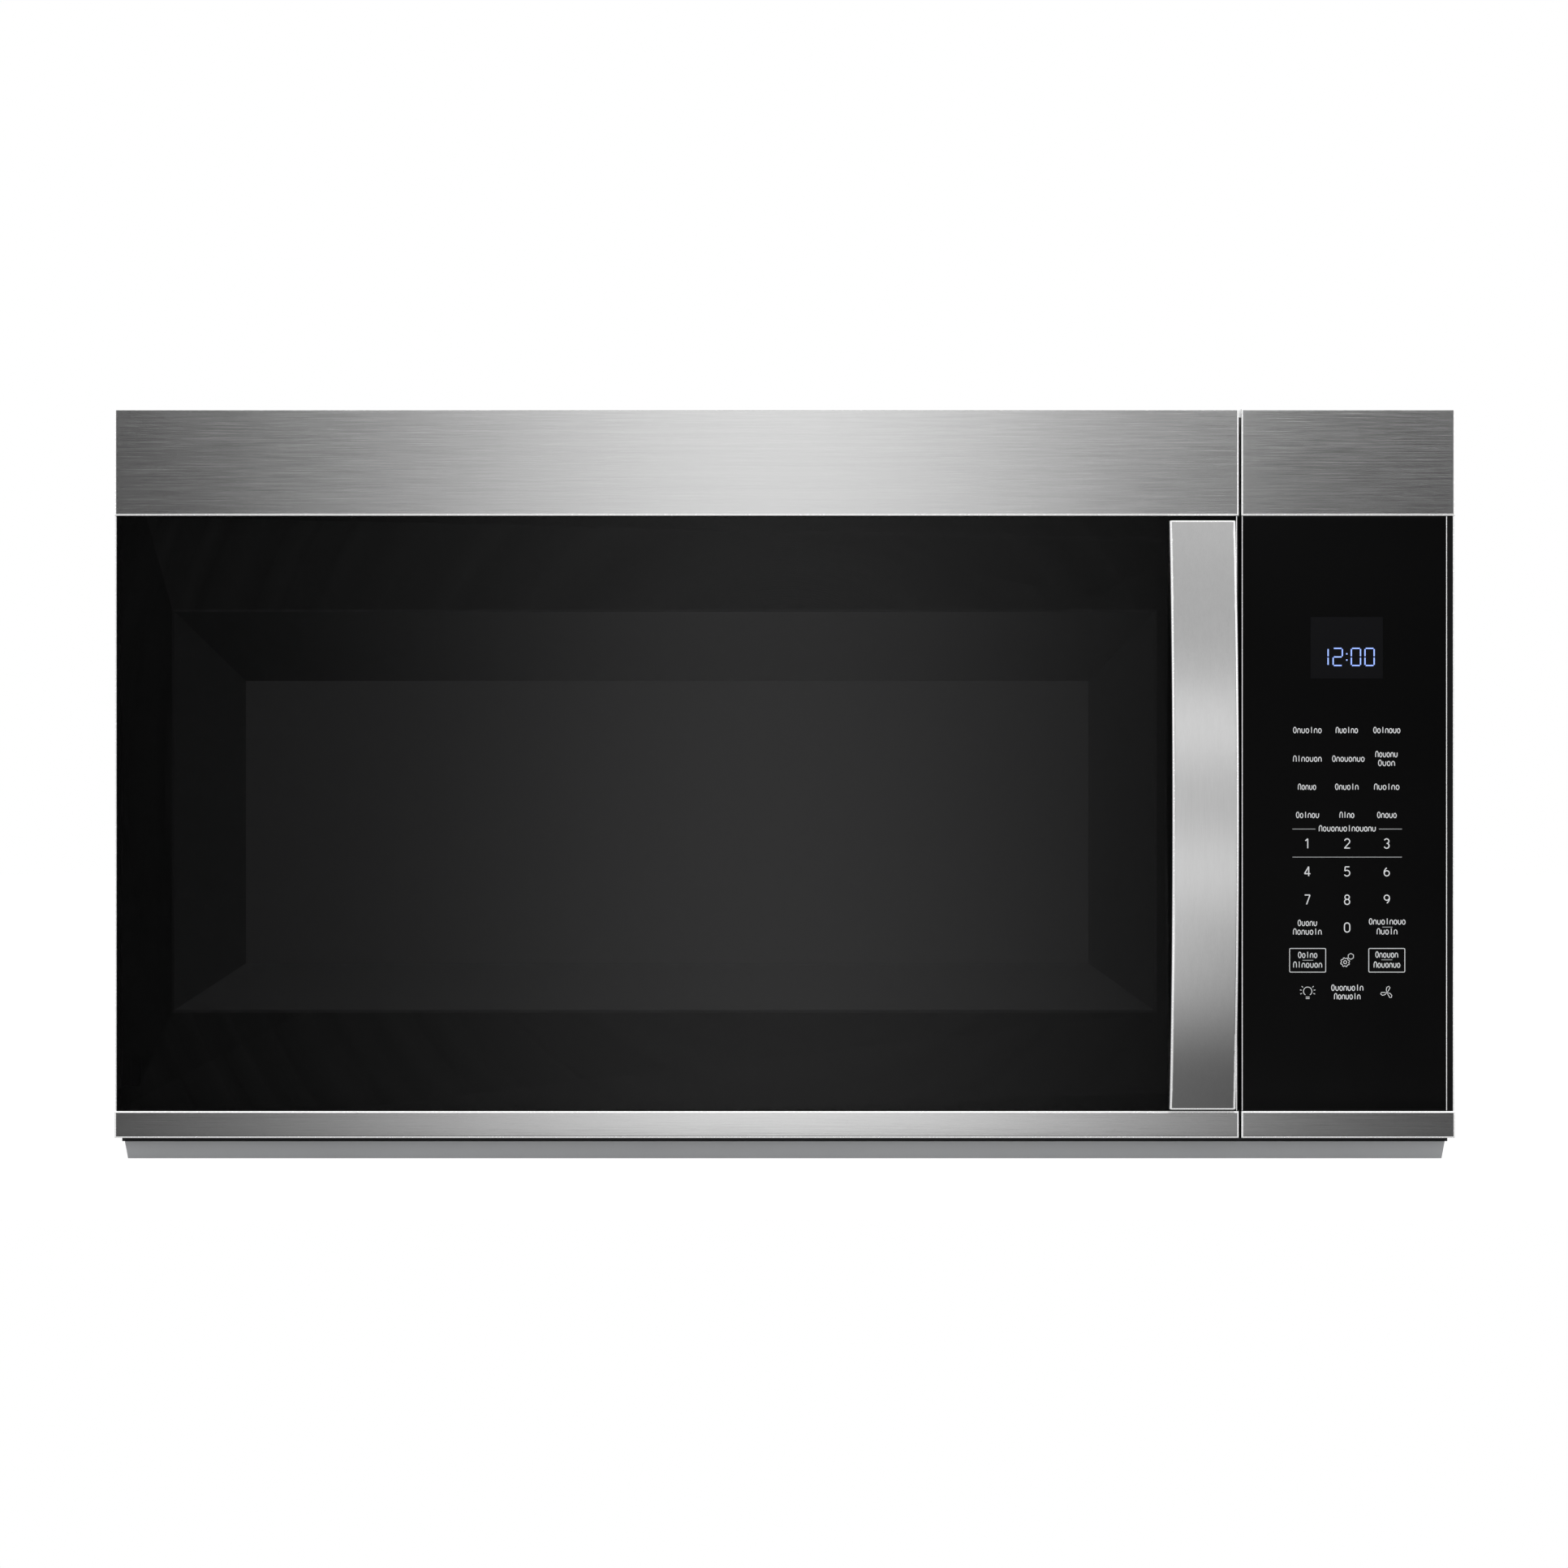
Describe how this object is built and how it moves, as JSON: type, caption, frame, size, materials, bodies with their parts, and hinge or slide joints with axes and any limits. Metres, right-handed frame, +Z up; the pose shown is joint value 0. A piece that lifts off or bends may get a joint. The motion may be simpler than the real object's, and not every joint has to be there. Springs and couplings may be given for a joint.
{
  "type": "over the range microwave",
  "caption": "Wall-hung microwave oven with a side-hinged glass door, bowed steel handle, keypad column, turntable, and a vent hood with grease filters below and a duct collar on top",
  "frame": {"origin": "on the rear face that bears on the wall, at mid width, level with the underside of the base pan", "axes": "+X to the right as seen from the front, +Z up, the front faces -Y"},
  "size_m": [0.759, 0.4334, 0.4375],
  "materials": {
    "steel_front": "horizontally brushed stainless sheet",
    "steel_handle": "satin steel with vertical brushing",
    "black_glass": "dark tinted tempered glass",
    "control_black": "black glass with printed keys",
    "case_paint": "dark textured paint",
    "pan_paint": "pale grey paint",
    "zinc_steel": "zinc-coated sheet",
    "oven_enamel": "light grey baked enamel",
    "door_plastic": "moulded black plastic",
    "grey_plastic": "dark grey moulded plastic",
    "white_plastic": "off-white moulded plastic",
    "bezel_black": "glossy black bezel",
    "screen_black": "black perforated sheet",
    "tray_glass": "clear tempered glass",
    "lens_clear": "frosted lens",
    "lamp_white": "lamp body",
    "filter_mesh": "expanded aluminium mesh",
    "duct_zinc": "galvanised sheet",
    "charcoal": "charcoal bed",
    "core_steel": "laminated core and windings",
    "fin_aluminium": "pressed fins",
    "bright_aluminium": "drawn aluminium can",
    "board_green": "circuit board",
    "display_dark": "display window",
    "mica": "mica sheet",
    "spring_steel": "spring wire",
    "pin_steel": "plated pins and screws",
    "rubber_black": "moulded rubber"
  },
  "bodies": {
    "chassis": {"outer_case": "case_paint", "rear_panel": "zinc_steel", "chassis_base": "case_paint", "base_pan": "pan_paint", "front_frame": "oven_enamel", "oven_floor_plate": "oven_enamel", "oven_ceiling_plate": "oven_enamel", "oven_left_wall": "oven_enamel", "oven_right_wall": "oven_enamel", "oven_rear_wall": "oven_enamel", "waveguide": "zinc_steel", "waveguide_cover": "mica", "magnetron": "fin_aluminium", "hv_transformer": "core_steel", "hv_capacitor": "bright_aluminium", "fan_shroud": "zinc_steel", "fan_motor": "core_steel", "blower_housing": "zinc_steel", "blower_motor": "core_steel", "exhaust_adapter": "duct_zinc", "top_grille": "grey_plastic", "charcoal_filter": "charcoal", "cooktop_lamp_lenses": "lens_clear", "cooktop_lamps": "lamp_white", "oven_lamp": "lamp_white", "turntable_motor": "zinc_steel", "control_panel_frame": "door_plastic", "control_glass": "control_black", "control_top_band": "steel_front", "control_bottom_bar": "steel_front", "control_board": "board_green", "display_module": "display_dark", "latch_board": "white_plastic", "interlock_switches": "grey_plastic", "hinge_brackets": "zinc_steel", "hinge_pins": "pin_steel", "cord_grommet": "rubber_black"},
    "door": {"door_frame": "door_plastic", "door_glass": "black_glass", "window_bezel": "bezel_black", "door_screen": "screen_black", "choke_frame": "zinc_steel", "choke_cover": "grey_plastic", "door_top_band": "steel_front", "door_bottom_bar": "steel_front", "handle": "steel_handle", "handle_screws": "pin_steel", "latch_spring": "spring_steel"},
    "door_latch": {"door_latch": "white_plastic"},
    "fan_blade": {"fan_blade": "grey_plastic"},
    "blower_rotor": {"blower_rotor": "grey_plastic"},
    "damper_flap": {"damper_flap": "duct_zinc"},
    "grease_filter_left": {"grease_filter_left": "filter_mesh"},
    "grease_filter_right": {"grease_filter_right": "filter_mesh"},
    "turntable_coupler": {"turntable_coupler": "white_plastic"},
    "glass_tray": {"glass_tray": "tray_glass"},
    "roller_ring": {"roller_ring": "white_plastic"},
    "tray_roller_1": {"tray_roller_1": "white_plastic"},
    "tray_roller_2": {"tray_roller_2": "white_plastic"},
    "tray_roller_3": {"tray_roller_3": "white_plastic"}
  },
  "joints": [
    {"name": "door_hinge", "type": "hinge", "parent": "chassis", "child": "door", "pos_m": [-0.369, -0.375, 0.2184], "axis": [0, 0, -1], "range_deg": [0, 105]},
    {"name": "latch_lift", "type": "slide", "parent": "door", "child": "door_latch", "axis": [0, 0, 1], "range_m": [0, 0.004], "stiffness_N_per_m": 250, "springref_m": -0.002, "deforming": ["latch_spring"]},
    {"name": "turntable_spin", "type": "hinge", "parent": "chassis", "child": "turntable_coupler", "pos_m": [-0.068, -0.182, 0.0735], "axis": [0, 0, 1], "continuous": true},
    {"name": "tray_lift", "type": "slide", "parent": "turntable_coupler", "child": "glass_tray", "axis": [0, 0, 1], "range_m": [0, 0.04]},
    {"name": "ring_spin", "type": "hinge", "parent": "chassis", "child": "roller_ring", "pos_m": [-0.068, -0.182, 0.0773], "axis": [0, 0, 1], "continuous": true},
    {"name": "damper_swing", "type": "hinge", "parent": "chassis", "child": "damper_flap", "pos_m": [0, -0.038, 0.4286], "axis": [-1, 0, 0], "range_deg": [0, 75]},
    {"name": "blower_spin", "type": "hinge", "parent": "chassis", "child": "blower_rotor", "pos_m": [0, -0.096, 0.372], "axis": [1, 0, 0], "continuous": true},
    {"name": "fan_spin", "type": "hinge", "parent": "chassis", "child": "fan_blade", "pos_m": [0.29, -0.05, 0.2], "axis": [0, -1, 0], "continuous": true},
    {"name": "filter_left_slide", "type": "slide", "parent": "chassis", "child": "grease_filter_left", "axis": [0, 1, 0], "range_m": [0, 0.01]},
    {"name": "filter_right_slide", "type": "slide", "parent": "chassis", "child": "grease_filter_right", "axis": [0, 1, 0], "range_m": [0, 0.01]},
    {"name": "roller_1_spin", "type": "hinge", "parent": "roller_ring", "child": "tray_roller_1", "pos_m": [0.0186, -0.132, 0.0773], "axis": [0.866, 0.5, 0], "continuous": true},
    {"name": "roller_2_spin", "type": "hinge", "parent": "roller_ring", "child": "tray_roller_2", "pos_m": [-0.1546, -0.132, 0.0773], "axis": [-0.866, 0.5, 0], "continuous": true},
    {"name": "roller_3_spin", "type": "hinge", "parent": "roller_ring", "child": "tray_roller_3", "pos_m": [-0.068, -0.282, 0.0773], "axis": [0, -1, 0], "continuous": true}
  ],
  "couplings": [
    {"joint": "ring_spin", "follows": "turntable_spin", "ratio": 0.5},
    {"joint": "roller_1_spin", "follows": "turntable_spin", "ratio": -6.25},
    {"joint": "roller_2_spin", "follows": "turntable_spin", "ratio": -6.25},
    {"joint": "roller_3_spin", "follows": "turntable_spin", "ratio": -6.25}
  ]
}
